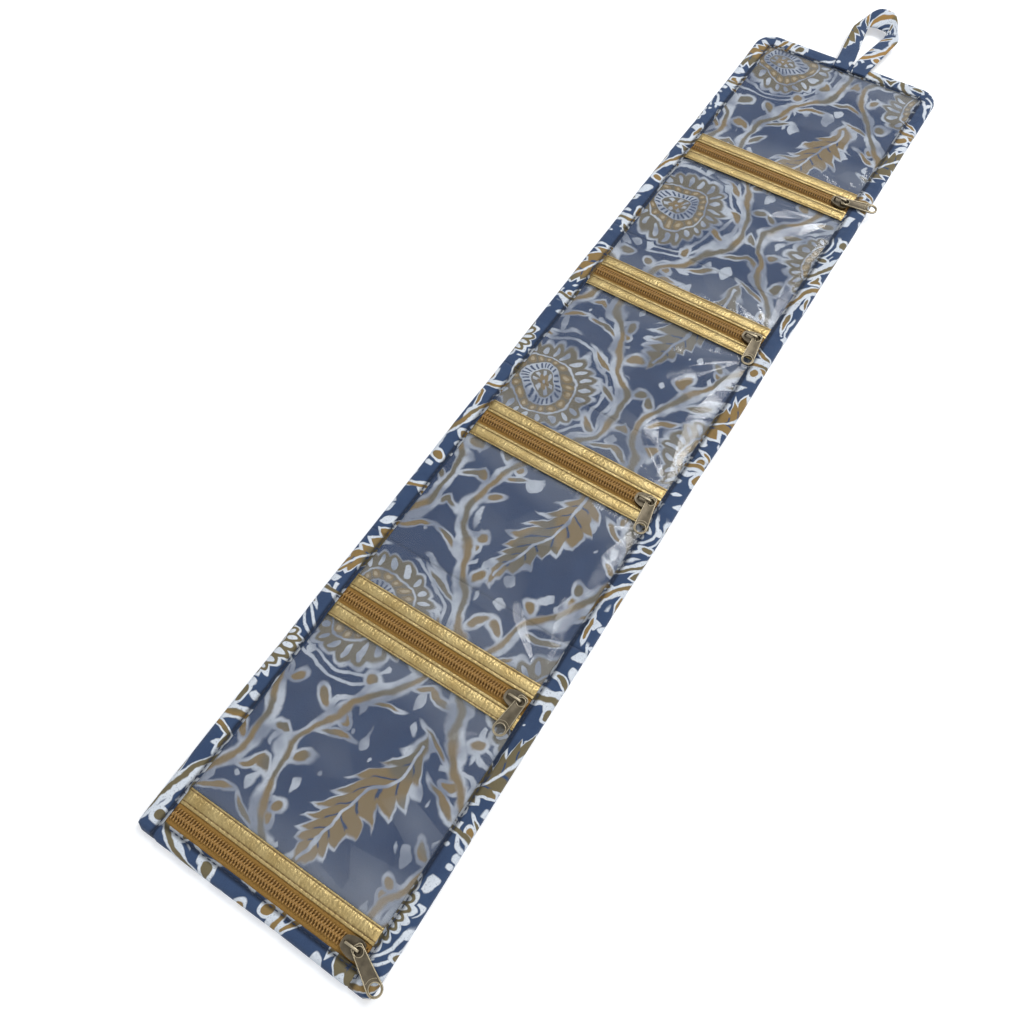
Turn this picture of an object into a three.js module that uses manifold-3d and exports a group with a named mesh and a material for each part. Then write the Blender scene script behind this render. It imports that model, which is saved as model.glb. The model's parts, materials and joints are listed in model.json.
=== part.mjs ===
import * as THREE from 'three';
import { mergeVertices } from 'three/addons/utils/BufferGeometryUtils.js';
import Module from 'manifold-3d';

// A fold-up jewellery pouch laid open: a padded cotton strip with clear pockets, each closed by a coil zip
// between gold trims, bound with cloth all round and hung from a cloth loop.
// Millimetres, +Z up, +Y towards the loop. The origin is on the underside, at the strip's centre.

// Strip
const stripWidth = 127;
const pocketCount = 5;
const firstZipFromTop = 125;
const zipPitch = 122;
const foldBelowZip = 24.5;
const foldGap = 0.4;
const innerCornerRadius = 2.5;

// Cloth and film
const padThickness = 1.6;
const rimThickness = 0.8;
const liningThickness = 0.4;
const filmThickness = 0.3;
const filmTuck = 4.5;

// Folded bindings
const bindingWidth = 10.5;
const hemWidth = 8;
const bindingCloth = 0.5;

// Zips: each half is a tape with its row of coil teeth
const tapeWidth = 11;
const tapeThickness = 0.4;
const coilWidth = 2.2;
const coilHeight = 1.6;
const coilPitch = 1.5;
const toothDepth = 0.4;
const coilSlit = 1;

// Gold trims over the tapes' edges
const trimWidth = 8;
const trimThickness = 0.8;
const trimEdgeRadius = 0.35;

// Sliders
const sliderLength = 10.5;
const sliderWidth = 8.6;
const sliderTailWidth = 6.6;
const sliderPlate = 0.6;
const sliderPostLength = 2.5;
const sliderEndGap = 1.5;
const sliderToHem = 0.7;
const archLength = 8.4;
const archWidth = 1.6;
const archFoot = 1.5;
const archBar = 0.8;

// Pull tabs
const pullLength = 22;
const pullWidth = 6.4;
const pullThickness = 1;
const pullChamfer = 1;
const eyeRadius = 1.6;
const eyePlay = 0.25;
const tipHoleRadius = 1.7;
const pullYawDegrees = [13, -84, -81, -96, -29];

// Hanging loop
const loopBand = 10;
const loopThickness = 1.6;
const loopReach = 50;
const loopWidth = 33;
const loopShoulder = 30;
const loopPeakWidth = 14;
const loopOffset = 3;

// Clearance between pieces that move or lie against each other
const fit = 0.2;

// Steps in a quarter of a small round
const arcSteps = 4;

// Heights, from the underside up
const liningTop = padThickness + liningThickness;
const tapeBase = liningTop + sliderPlate + 2 * fit;
const filmBase = tapeBase - filmThickness;
const tapeTop = tapeBase + tapeThickness;
const coilTop = tapeTop + coilHeight;
const trimTop = tapeTop + trimThickness;
const bindingTop = trimTop + fit + bindingCloth;
const sliderBase = liningTop + fit;
const plateBase = coilTop + fit;
const plateTop = plateBase + sliderPlate;
const pullBase = plateTop + fit + eyePlay;
const archTop = pullBase + pullThickness + eyePlay + fit + archBar;
const pullRest = Math.max(bindingTop, coilTop) + fit;

// Places along and across the strip
const lastZipToBottom = sliderWidth / 2 + sliderToHem + hemWidth;
const stripLength = firstZipFromTop + zipPitch * (pocketCount - 1) + lastZipToBottom;
const stripTop = stripLength / 2;
const stripBottom = -stripLength / 2;
const edgeInset = bindingTop / 2;
const clearHalfWidth = stripWidth / 2 - bindingWidth;
const tapeReach = coilSlit / 2 + tapeWidth;
const coilReach = coilSlit / 2 + coilWidth;
const trimFromZip = sliderWidth / 2 + fit;
const filmFromZip = tapeReach - filmTuck;
const sliderX = clearHalfWidth - sliderEndGap - sliderLength / 2;
const footOffset = (archLength - archFoot) / 2;
const pullTip = pullLength - pullWidth / 2;
const pullDroop = Math.atan2(pullBase - pullRest, pullTip);

const cotton = new THREE.MeshStandardMaterial({ color: 0x3a5488, roughness: 0.9, metalness: 0 });
const liningCotton = new THREE.MeshStandardMaterial({ color: 0x5d6b8c, roughness: 0.9, metalness: 0 });
const film = new THREE.MeshStandardMaterial({
  color: 0xdfe6ee,
  roughness: 0.15,
  metalness: 0,
  transparent: true,
  opacity: 0.3,
});
const gold = new THREE.MeshStandardMaterial({ color: 0xc9a85c, roughness: 0.35, metalness: 0.6 });
const ochre = new THREE.MeshStandardMaterial({ color: 0xa8741e, roughness: 0.8, metalness: 0 });
const brass = new THREE.MeshStandardMaterial({ color: 0x6e6250, roughness: 0.4, metalness: 0.9 });

const wasm = await Module();
wasm.setup();

const pouch = new THREE.Group();

function addPiece(name, geometry, material) {
  const mesh = new THREE.Mesh(geometry, material);
  mesh.name = name;
  pouch.add(mesh);
  return mesh;
}

// A flat outline raised from one height to another.
function slab(outline, low, high) {
  const geometry = new THREE.ExtrudeGeometry(outline, {
    depth: high - low,
    bevelEnabled: false,
    curveSegments: arcSteps,
  });
  return geometry.translate(0, 0, low);
}

function rectangle(left, right, bottom, top) {
  const outline = new THREE.Shape();
  outline.moveTo(left, bottom);
  outline.lineTo(right, bottom);
  outline.lineTo(right, top);
  outline.lineTo(left, top);
  return outline;
}

// A section drawn in Y and Z and run across the strip along X.
function runAcross(section, left, right) {
  const geometry = new THREE.ExtrudeGeometry(section, {
    depth: right - left,
    bevelEnabled: false,
    curveSegments: arcSteps,
  });
  const turn = new THREE.Matrix4().makeBasis(
    new THREE.Vector3(0, 1, 0),
    new THREE.Vector3(0, 0, 1),
    new THREE.Vector3(1, 0, 0),
  );
  return geometry.applyMatrix4(turn).translate(left, 0, 0);
}

function toSolid(geometry) {
  const bare = geometry.clone();
  bare.deleteAttribute('normal');
  bare.deleteAttribute('uv');
  const merged = mergeVertices(bare, 1e-4);
  return new wasm.Manifold(new wasm.Mesh({
    numProp: 3,
    vertProperties: Float32Array.from(merged.attributes.position.array),
    triVerts: Uint32Array.from(merged.index.array),
  }));
}

function toGeometry(manifold) {
  const mesh = manifold.getMesh();
  const geometry = new THREE.BufferGeometry();
  geometry.setAttribute('position', new THREE.BufferAttribute(mesh.vertProperties, 3));
  geometry.setIndex(new THREE.BufferAttribute(mesh.triVerts, 1));
  geometry.computeVertexNormals();
  return geometry;
}

function join(...geometries) {
  const solids = geometries.map(toSolid);
  return toGeometry(solids.reduce((whole, next) => whole.add(next)));
}

function cut(geometry, ...tools) {
  const solids = tools.map(toSolid);
  return toGeometry(solids.reduce((left, tool) => left.subtract(tool), toSolid(geometry)));
}

// A stretch of the strip between two heights along Y. Only the stretch at the strip's top has rounded corners.
function stripOutline(bottom, top, inset, cornerRadius) {
  const half = stripWidth / 2 - inset;
  if (cornerRadius === 0) return rectangle(-half, half, bottom, top);
  const outline = new THREE.Shape();
  outline.moveTo(-half, bottom);
  outline.lineTo(half, bottom);
  outline.lineTo(half, top - cornerRadius);
  outline.absarc(half - cornerRadius, top - cornerRadius, cornerRadius, 0, Math.PI / 2, false);
  outline.absarc(-half + cornerRadius, top - cornerRadius, cornerRadius, Math.PI / 2, Math.PI, false);
  return outline;
}

// Cross-section of cloth folded round an edge: X is the depth in from the edge, Y the height.
function bindingSection(width) {
  const radius = bindingTop / 2;
  const section = new THREE.Shape();
  section.moveTo(width, 0);
  section.lineTo(radius, 0);
  section.absarc(radius, radius, radius, -Math.PI / 2, Math.PI / 2, true);
  section.lineTo(width, bindingTop);
  section.lineTo(width, bindingTop - bindingCloth);
  section.lineTo(radius, bindingTop - bindingCloth);
  section.absarc(radius, radius, radius - bindingCloth, Math.PI / 2, 1.5 * Math.PI, false);
  section.lineTo(width, bindingCloth);
  return section.getPoints(arcSteps);
}

// The section carried along an edge, clockwise round the strip. Each station is a point on the edge
// and the angle of the direction in from it.
function bindEdge(section, stations) {
  const positions = [];
  for (const { x, y, inward } of stations) {
    for (const { x: depth, y: height } of section) {
      positions.push(x + depth * Math.cos(inward), y + depth * Math.sin(inward), height);
    }
  }
  const count = section.length;
  const index = [];
  for (let station = 0; station < stations.length - 1; station += 1) {
    for (let here = 0; here < count; here += 1) {
      const a = station * count + here;
      const b = station * count + (here + 1) % count;
      index.push(a, b, b + count, a, b + count, a + count);
    }
  }
  const lastRing = (stations.length - 1) * count;
  for (const [a, b, c] of THREE.ShapeUtils.triangulateShape(section, [])) {
    index.push(a, b, c, lastRing + c, lastRing + b, lastRing + a);
  }
  const geometry = new THREE.BufferGeometry();
  geometry.setAttribute('position', new THREE.Float32BufferAttribute(positions, 3));
  geometry.setIndex(index);
  geometry.computeVertexNormals();
  return geometry;
}

// Stations round one of the strip's top corners, from one inward angle to the next.
function cornerStations(centreX, centreY, radius, fromAngle) {
  const steps = 2 * arcSteps;
  const stations = [];
  for (let step = 0; step <= steps; step += 1) {
    const inward = fromAngle - (Math.PI / 2) * (step / steps);
    stations.push({
      x: centreX - radius * Math.cos(inward),
      y: centreY - radius * Math.sin(inward),
      inward,
    });
  }
  return stations;
}

// The panels between the fold lines, numbered from the loop's end.
const panels = [];
for (let number = 1; number <= pocketCount; number += 1) {
  const zipY = stripTop - firstZipFromTop - zipPitch * (number - 1);
  panels.push({
    number,
    zipY,
    isFirst: number === 1,
    isLast: number === pocketCount,
    top: zipY + zipPitch - foldBelowZip - foldGap / 2,
    bottom: zipY - foldBelowZip + foldGap / 2,
  });
}

// A layer of one panel, inset from the strip's edges.
function panelLayer(panel, sideInset, endInset, low, high) {
  const top = panel.isFirst ? stripTop - sideInset : panel.top;
  const bottom = panel.isLast ? stripBottom + endInset : panel.bottom;
  const cornerRadius = panel.isFirst ? bindingWidth + innerCornerRadius - sideInset : 0;
  return slab(stripOutline(bottom, top, sideInset, cornerRadius), low, high);
}

// Outer cotton with its foam: full thickness between the bindings, and a thin rim that runs into them.
function backPanel(panel) {
  const rim = panelLayer(panel, edgeInset, edgeInset, padThickness - rimThickness, padThickness);
  const body = panelLayer(panel, bindingWidth + fit, hemWidth + fit, 0, padThickness);
  return join(rim, body);
}

function windowFilm(panel) {
  const top = panel.isFirst ? stripTop - edgeInset : panel.top;
  const cornerRadius = panel.isFirst ? bindingWidth + innerCornerRadius - edgeInset : 0;
  return slab(stripOutline(panel.zipY + filmFromZip, top, edgeInset, cornerRadius), filmBase, tapeBase);
}

// The head of the next pocket's window, above the fold.
function windowHead(panel) {
  return slab(stripOutline(panel.bottom, panel.zipY - filmFromZip, edgeInset, 0), filmBase, tapeBase);
}

// One row of teeth seen from above: a ridge with its points towards the zip's centre line.
function coilOutline(side) {
  const outline = new THREE.Shape();
  const length = 2 * (clearHalfWidth - fit);
  const teeth = Math.floor(length / coilPitch);
  const start = -teeth * coilPitch / 2;
  const stagger = side > 0 ? 0 : coilPitch / 2;
  outline.moveTo(start, side * coilReach);
  outline.lineTo(start, side * (coilSlit / 2 + toothDepth));
  for (let tooth = 0; tooth < teeth; tooth += 1) {
    const root = start + tooth * coilPitch;
    outline.lineTo(root + coilPitch / 4 + stagger, side * coilSlit / 2);
    if (tooth < teeth - 1) {
      outline.lineTo(root + 3 * coilPitch / 4 + stagger, side * (coilSlit / 2 + toothDepth));
    }
  }
  outline.lineTo(-start, side * (coilSlit / 2 + toothDepth));
  outline.lineTo(-start, side * coilReach);
  return outline;
}

// One half of a zip about its own centre line: side is 1 above it and -1 below it.
function zipHalf(side, reach) {
  const end = stripWidth / 2 - edgeInset;
  const near = side * coilSlit / 2;
  const far = side * reach;
  const tape = slab(rectangle(-end, end, Math.min(near, far), Math.max(near, far)), tapeBase, tapeTop);
  const coil = slab(coilOutline(side), tapeBase + tapeThickness / 2, coilTop);
  return join(tape, coil);
}

// A trim strip with its upper edges rolled over.
function trimStrip() {
  const half = trimWidth / 2;
  const corner = half - trimEdgeRadius;
  const shoulder = trimTop - trimEdgeRadius;
  const section = new THREE.Shape();
  section.moveTo(-half, tapeTop);
  section.lineTo(half, tapeTop);
  section.lineTo(half, shoulder);
  section.absarc(corner, shoulder, trimEdgeRadius, 0, Math.PI / 2, false);
  section.absarc(-corner, shoulder, trimEdgeRadius, Math.PI / 2, Math.PI, false);
  const end = stripWidth / 2 - edgeInset;
  return runAcross(section, -end, end);
}

// Plan of the slider: a straight taper from the tail to the shoulders and a round nose towards +X.
function sliderOutline() {
  const half = sliderWidth / 2;
  const tail = sliderTailWidth / 2;
  const nose = sliderLength / 2;
  const shoulder = nose - half / 2;
  const outline = new THREE.Shape();
  outline.moveTo(-nose, -tail);
  outline.lineTo(shoulder, -half);
  outline.quadraticCurveTo(nose, -half, nose, 0);
  outline.quadraticCurveTo(nose, half, shoulder, half);
  outline.lineTo(-nose, tail);
  return outline;
}

// The bridge on the slider that the pull hangs on, drawn in Y and Z and then turned along X.
function sliderArch() {
  const half = archLength / 2;
  const inner = half - archFoot;
  const radius = archFoot;
  const section = new THREE.Shape();
  section.moveTo(-half, plateBase + sliderPlate / 2);
  section.lineTo(-inner, plateBase + sliderPlate / 2);
  section.lineTo(-inner, archTop - archBar);
  section.lineTo(inner, archTop - archBar);
  section.lineTo(inner, plateBase + sliderPlate / 2);
  section.lineTo(half, plateBase + sliderPlate / 2);
  section.lineTo(half, archTop - radius);
  section.absarc(half - radius, archTop - radius, radius, 0, Math.PI / 2, false);
  section.absarc(-half + radius, archTop - radius, radius, Math.PI / 2, Math.PI, false);
  return runAcross(section, -archWidth / 2, archWidth / 2).rotateZ(-Math.PI / 2);
}

// Two plates joined by the post between the rows of teeth. The upper plate's sides reach down to the tape.
function sliderBody() {
  const length = sliderLength + 2 * fit;
  const channelHalf = coilReach + fit;
  const channel = slab(rectangle(-length, length, -channelHalf, channelHalf), tapeTop, plateBase);
  const upper = cut(slab(sliderOutline(), tapeTop + fit, plateTop), channel);
  const lower = slab(sliderOutline(), sliderBase, sliderBase + sliderPlate);
  const postHalf = coilSlit / 2 - fit;
  const postFront = sliderLength / 2 - sliderPlate;
  const postPlan = rectangle(postFront - sliderPostLength, postFront, -postHalf, postHalf);
  const post = slab(postPlan, sliderBase + sliderPlate / 2, plateBase + sliderPlate / 2);
  return join(upper, lower, post, sliderArch());
}

function roundHole(x, radius) {
  const hole = new THREE.Path();
  hole.absarc(x, 0, radius, 0, 2 * Math.PI, true);
  return hole;
}

// A flat tab from the eye at its origin to a round tip with a hole.
function pullTab() {
  const half = pullWidth / 2;
  const tipCentre = pullTip - half;
  const outline = new THREE.Shape();
  outline.moveTo(-half, -half + pullChamfer);
  outline.lineTo(-half + pullChamfer, -half);
  outline.lineTo(tipCentre, -half);
  outline.absarc(tipCentre, 0, half, -Math.PI / 2, Math.PI / 2, false);
  outline.lineTo(-half + pullChamfer, half);
  outline.lineTo(-half, half - pullChamfer);
  outline.holes.push(roundHole(0, eyeRadius), roundHole(tipCentre, tipHoleRadius));
  return slab(outline, 0, pullThickness);
}

// A flat band folded into a loop, from its sewn end at the binding's inner edge to the folded peak.
function hangingLoop() {
  const sewnEnd = stripTop - bindingWidth;
  const shoulder = stripTop + loopShoulder;
  const peak = stripTop + loopReach;
  const outline = new THREE.Shape();
  outline.moveTo(-loopBand, sewnEnd);
  outline.lineTo(loopBand, sewnEnd);
  outline.lineTo(loopWidth / 2, shoulder);
  outline.lineTo(loopPeakWidth / 2, peak);
  outline.lineTo(-loopPeakWidth / 2, peak);
  outline.lineTo(-loopWidth / 2, shoulder);
  const holeHalf = loopWidth / 2 - loopBand;
  const holePeak = holeHalf * loopPeakWidth / loopWidth;
  const hole = new THREE.Path();
  hole.moveTo(0, stripTop);
  hole.lineTo(-holeHalf, shoulder);
  hole.lineTo(-holePeak, peak - loopBand);
  hole.lineTo(holePeak, peak - loopBand);
  hole.lineTo(holeHalf, shoulder);
  outline.holes.push(hole);
  const base = bindingTop + fit;
  return slab(outline, base, base + loopThickness).translate(loopOffset, 0, 0);
}

// Binding of the first panel: up the left side, round the top and down the right side.
function topBinding(panel) {
  const radius = bindingWidth + innerCornerRadius;
  const side = stripWidth / 2;
  const cornerY = stripTop - radius;
  return bindEdge(bindingSection(bindingWidth), [
    { x: -side, y: panel.bottom, inward: 0 },
    ...cornerStations(radius - side, cornerY, radius, 0),
    ...cornerStations(side - radius, cornerY, radius, -Math.PI / 2),
    { x: side, y: panel.bottom, inward: -Math.PI },
  ]);
}

function sideBindings(panel) {
  const side = stripWidth / 2;
  const bottom = panel.isLast ? stripBottom + hemWidth + fit : panel.bottom;
  const section = bindingSection(bindingWidth);
  const left = bindEdge(section, [
    { x: -side, y: bottom, inward: 0 },
    { x: -side, y: panel.top, inward: 0 },
  ]);
  const right = bindEdge(section, [
    { x: side, y: panel.top, inward: Math.PI },
    { x: side, y: bottom, inward: Math.PI },
  ]);
  return { left, right };
}

function bottomHem() {
  const side = stripWidth / 2;
  return bindEdge(bindingSection(hemWidth), [
    { x: side, y: stripBottom, inward: Math.PI / 2 },
    { x: -side, y: stripBottom, inward: Math.PI / 2 },
  ]);
}

for (const panel of panels) {
  const { number, zipY } = panel;
  addPiece(`back_${number}`, backPanel(panel), cotton);
  addPiece(`lining_${number}`, panelLayer(panel, edgeInset, edgeInset, padThickness, liningTop), liningCotton);
  addPiece(`window_${number}`, windowFilm(panel), film);
  if (!panel.isLast) addPiece(`window_${number + 1}_top`, windowHead(panel), film);

  const lowerReach = panel.isLast ? lastZipToBottom - edgeInset : tapeReach;
  addPiece(`zip_${number}_upper`, zipHalf(1, tapeReach), ochre).position.y = zipY;
  addPiece(`zip_${number}_lower`, zipHalf(-1, lowerReach), ochre).position.y = zipY;

  const trimCentre = trimFromZip + trimWidth / 2;
  addPiece(`trim_${number}_upper`, trimStrip(), gold).position.y = zipY + trimCentre;
  if (!panel.isLast) addPiece(`trim_${number}_lower`, trimStrip(), gold).position.y = zipY - trimCentre;

  addPiece(`slider_${number}`, sliderBody(), brass).position.set(sliderX, zipY, 0);
  const pull = addPiece(`pull_${number}`, pullTab(), brass);
  const yaw = THREE.MathUtils.degToRad(pullYawDegrees[(number - 1) % pullYawDegrees.length]);
  pull.position.set(sliderX + footOffset, zipY, pullBase);
  pull.rotation.set(0, pullDroop, yaw, 'ZYX');

  if (panel.isFirst) {
    addPiece('binding_top', topBinding(panel), cotton);
  } else {
    const bindings = sideBindings(panel);
    addPiece(`binding_left_${number}`, bindings.left, cotton);
    addPiece(`binding_right_${number}`, bindings.right, cotton);
  }
}
addPiece('hem_bottom', bottomHem(), cotton);
addPiece('hanging_loop', hangingLoop(), cotton);

export default pouch;
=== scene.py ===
import bpy
import json
import math
from contextlib import contextmanager
from mathutils import Matrix, Vector, noise


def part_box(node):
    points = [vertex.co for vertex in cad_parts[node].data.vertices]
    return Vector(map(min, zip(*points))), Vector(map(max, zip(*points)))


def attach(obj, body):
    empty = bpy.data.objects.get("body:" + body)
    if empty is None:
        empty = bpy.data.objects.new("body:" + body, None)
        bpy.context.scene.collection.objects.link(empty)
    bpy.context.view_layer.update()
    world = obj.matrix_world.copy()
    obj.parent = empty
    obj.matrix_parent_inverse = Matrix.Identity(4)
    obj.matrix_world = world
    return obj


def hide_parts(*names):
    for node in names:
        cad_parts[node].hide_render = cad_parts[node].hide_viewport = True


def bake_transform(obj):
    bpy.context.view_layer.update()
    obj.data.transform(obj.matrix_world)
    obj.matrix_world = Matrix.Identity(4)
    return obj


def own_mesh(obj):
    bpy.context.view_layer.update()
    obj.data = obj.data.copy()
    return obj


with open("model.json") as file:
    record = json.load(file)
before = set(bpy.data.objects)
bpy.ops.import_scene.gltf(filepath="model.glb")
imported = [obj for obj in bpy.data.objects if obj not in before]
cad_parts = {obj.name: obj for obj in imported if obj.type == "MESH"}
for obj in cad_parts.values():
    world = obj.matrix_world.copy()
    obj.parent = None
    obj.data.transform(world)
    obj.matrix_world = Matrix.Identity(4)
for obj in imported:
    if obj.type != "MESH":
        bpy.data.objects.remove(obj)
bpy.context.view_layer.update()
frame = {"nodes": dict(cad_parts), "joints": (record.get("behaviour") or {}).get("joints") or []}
mm = 0.001
pocketCount = 5


def nodeBox(node):
    low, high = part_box(node)
    return Vector(low) / mm, Vector(high) / mm


# places read from the frame, in millimetres
jointPlace = {joint["name"]: Vector(joint["pos_m"]) / mm for joint in frame["joints"] if "pos_m" in joint}
foldYs = [jointPlace[f"fold_{panel}_{panel + 1}"].y for panel in range(1, pocketCount)]
midPanelYs = [(upper + lower) / 2 for upper, lower in zip(foldYs, foldYs[1:])]
zipYs = [sum(corner.y for corner in nodeBox(f"slider_{panel}")) / 2 for panel in range(1, pocketCount + 1)]
halfWidth, stripTop, bindingTop = nodeBox("binding_top")[1]
hemLow, hemHigh = nodeBox("hem_bottom")
stripBottom = hemLow.y
hemWidth = hemHigh.y - hemLow.y
bindingLow, bindingHigh = nodeBox("binding_right_3")
bindingWidth = bindingHigh.x - bindingLow.x
innerHalf = halfWidth - bindingWidth
layerHalf = nodeBox("lining_3")[1].x
liningTop = nodeBox("lining_3")[1].z
edgeInset = halfWidth - layerHalf
filmTop = nodeBox("window_3")[1].z
coilTop = nodeBox("zip_3_upper")[1].z
tapeReach = nodeBox("zip_3_upper")[1].y - zipYs[2]
trimLow, trimHigh = nodeBox("trim_3_upper")
tapeTop = trimLow.z
trimRise = trimHigh.z - tapeTop
trimNear = trimLow.y - zipYs[2]
trimFar = trimHigh.y - zipYs[2]
trimHalf = (trimFar - trimNear) / 2
# the two seams of a trim, across it from its middle
trimSeams = (1.0 - trimHalf, trimHalf - 1.7)
# the lowest cloth lies a hair above the ground
ground = 0.02
print("frame read: strip", round(2 * halfWidth), "by", round(stripTop - stripBottom), "mm")


# small tools used by every piece

def smooth(low, high, value):
    share = min(1.0, max(0.0, (value - low) / (high - low)))
    return share * share * (3 - 2 * share)


def lerp(a, b, share):
    return a + (b - a) * share


def acrossStrip(share):
    return lerp(-layerHalf, layerHalf, share)


def soft(x, y, z=0.0):
    return noise.noise(Vector((x, y, z)))


# a name with the numbers of the two panels that meet at a fold
def pair(kind, fold):
    return f"{kind}_{fold}_{fold + 1}"


def deselectAll():
    bpy.ops.object.select_all(action="DESELECT")


def useOnly(obj):
    deselectAll()
    obj.select_set(True)
    bpy.context.view_layer.objects.active = obj


def start(name, addPrimitive, **settings):
    deselectAll()
    addPrimitive(**settings)
    obj = bpy.context.object
    obj.name = name
    return obj


def applyAll(obj):
    useOnly(obj)
    for modifier in list(obj.modifiers):
        bpy.ops.object.modifier_apply(modifier=modifier.name)


@contextmanager
def editing(obj, everything=True):
    useOnly(obj)
    bpy.ops.object.mode_set(mode="EDIT")
    bpy.ops.mesh.select_mode(type="FACE")
    if everything:
        bpy.ops.mesh.select_all(action="SELECT")
    yield
    bpy.ops.object.mode_set(mode="OBJECT")


def repeat(obj, count, step):
    copies = obj.modifiers.new("copies", "ARRAY")
    copies.count = count
    copies.use_relative_offset = False
    copies.use_constant_offset = True
    copies.constant_offset_displace = (step, 0, 0)
    applyAll(obj)


# millimetres of cloth in one unit of its texture coordinates
clothUnit = 100.0


# a flat grid laid onto a surface: place gives millimetres, clothAt the cut cloth's own millimetres
def layGrid(name, columns, rows, place, clothAt, paintedSeamShadeAt=None):
    obj = start(name, bpy.ops.mesh.primitive_grid_add, x_subdivisions=columns, y_subdivisions=rows, size=1)
    mesh = obj.data
    shares = [(vert.co.x + 0.5, vert.co.y + 0.5) for vert in mesh.vertices]
    for vert, share in zip(mesh.vertices, shares):
        vert.co = Vector(place(*share)) * mm
    layer = mesh.uv_layers.active
    layer.name = "cloth"
    for loop in mesh.loops:
        layer.data[loop.index].uv = Vector(clothAt(*shares[loop.vertex_index])) / clothUnit
    # a share of painted shade beside a seam, kept on each point for the cloth's material
    if paintedSeamShadeAt:
        paintedSeamShade = mesh.attributes.new("paintedSeamShade", "FLOAT", "POINT")
        for index, share in enumerate(shares):
            paintedSeamShade.data[index].value = paintedSeamShadeAt(*share)
    bpy.ops.object.shade_smooth()
    return obj


# a bent rod, drawn as a curve and turned into a mesh
def rod(name, path, radius, swells=(), resolution=2, closed=False):
    curve = start(name, bpy.ops.curve.primitive_nurbs_path_add).data
    curve.splines.clear()
    spline = curve.splines.new("POLY")
    spline.points.add(len(path) - 1)
    for point, (x, y, z) in zip(spline.points, path):
        point.co = (x * mm, y * mm, z * mm, 1)
    for point, swell in zip(spline.points, swells):
        point.radius = swell
    spline.use_cyclic_u = closed
    curve.dimensions = "3D"
    curve.bevel_depth = radius * mm
    curve.bevel_resolution = resolution
    curve.use_fill_caps = True
    bpy.ops.object.convert(target="MESH")
    bpy.ops.object.shade_smooth()
    return bpy.context.object


def dress(obj, material):
    obj.data.materials.clear()
    obj.data.materials.append(material)


def dressCloth(obj, thickness, material):
    wall = obj.modifiers.new("wall", "SOLIDIFY")
    wall.thickness = thickness * mm
    wall.offset = -1
    wall.use_even_offset = False
    applyAll(obj)
    dress(obj, material)


def bendAtFold(obj, panel):
    foldY = foldYs[panel - 1]
    f"panel_{panel + 1}"
    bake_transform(obj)


def operator(operation):
    return lambda wire, other=0.0: wire.math(operation, wire, other)


# shader sockets that can be added, scaled and compared as numbers
class Wire:
    def __init__(self, tree, socket=None):
        self.tree = tree
        self.socket = socket

    def node(self, kind, values=None, out=0, **settings):
        made = self.tree.nodes.new(kind)
        for key, value in settings.items():
            setattr(made, key, value)
        for key, value in (values or {}).items():
            if isinstance(value, Wire):
                self.tree.links.new(value.socket, made.inputs[key])
            else:
                made.inputs[key].default_value = value
        return Wire(self.tree, made.outputs[out])

    # another output of the same node
    def also(self, out):
        return Wire(self.tree, self.socket.node.outputs[out])

    def math(self, operation, first, second=0.0, third=0.0):
        return self.node("ShaderNodeMath", {0: first, 1: second, 2: third}, operation=operation)

    __add__ = __radd__ = operator("ADD")
    __mul__ = __rmul__ = operator("MULTIPLY")
    __sub__ = operator("SUBTRACT")
    __truediv__ = operator("DIVIDE")
    __abs__ = operator("ABSOLUTE")
    sin = operator("SINE")
    cos = operator("COSINE")
    root = operator("SQRT")
    over = operator("MAXIMUM")
    under = operator("MINIMUM")

    def __rsub__(self, other):
        return self.math("SUBTRACT", other, self)

    def wrap(self, period):
        return self.math("WRAP", self, period / 2, -period / 2)

    # 1 where the value is below the edge, with a soft step
    def below(self, edge, softness=0.25):
        span = {0: self, 1: edge + softness, 2: edge - softness, 3: 0.0, 4: 1.0}
        return self.node("ShaderNodeMapRange", span, interpolation_type="SMOOTHSTEP")

    def noise(self, scale, detail=2.0, out=0, space="2D"):
        values = {"Vector": self, "Scale": scale, "Detail": detail}
        return self.node("ShaderNodeTexNoise", values, out, noise_dimensions=space)

    # noise about zero
    def drift(self, scale, detail=1.0):
        return self.noise(scale, detail) - 0.5


def length(first, second):
    return (first * first + second * second).root()


def paint(code):
    parts = [int(code[i:i + 2], 16) / 255 for i in (0, 2, 4)]
    linear = [p / 12.92 if p <= 0.04045 else ((p + 0.055) / 1.055) ** 2.4 for p in parts]
    return (*linear, 1.0)


def mix(factor, under, over, **kind):
    maker = factor if isinstance(factor, Wire) else under
    return maker.node("ShaderNodeMix", {0: factor, 6: under, 7: over}, out=2, data_type="RGBA", **kind)


def grey(level):
    return level.node("ShaderNodeCombineColor", {0: level, 1: level, 2: level})


def startMaterial(name):
    material = bpy.data.materials.new(name)
    material.use_nodes = True
    material.node_tree.nodes.clear()
    return material, Wire(material.node_tree)


def finishMaterial(material, wire, values):
    shader = wire.node("ShaderNodeBsdfPrincipled", values)
    output = wire.tree.nodes.new("ShaderNodeOutputMaterial")
    wire.tree.links.new(shader.socket, output.inputs["Surface"])
    return material


# cloth coordinates of a piece in millimetres
def clothPlace(wire):
    place = wire.node("ShaderNodeUVMap", uv_map="cloth")
    apart = place.node("ShaderNodeSeparateXYZ", {0: place})
    return place, apart * clothUnit, apart.also(1) * clothUnit


def objectPlace(wire):
    return wire.node("ShaderNodeTexCoord", out="Object")


# distance to the middle of the nearest cell, and a chance number for that cell
def cellsAt(u, v, values, **kind):
    place = u.node("ShaderNodeCombineXYZ", {0: u, 1: v})
    cells = {"Vector": place, "Scale": 1.0, **values}
    toMiddle = u.node("ShaderNodeTexVoronoi", cells, voronoi_dimensions="2D", **kind)
    return toMiddle, u.node("ShaderNodeSeparateColor", {0: toMiddle.also(1)})


def bumpFrom(height, distance):
    return height.node("ShaderNodeBump", {"Strength": 1.0, "Distance": distance * mm, "Height": height})


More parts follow.
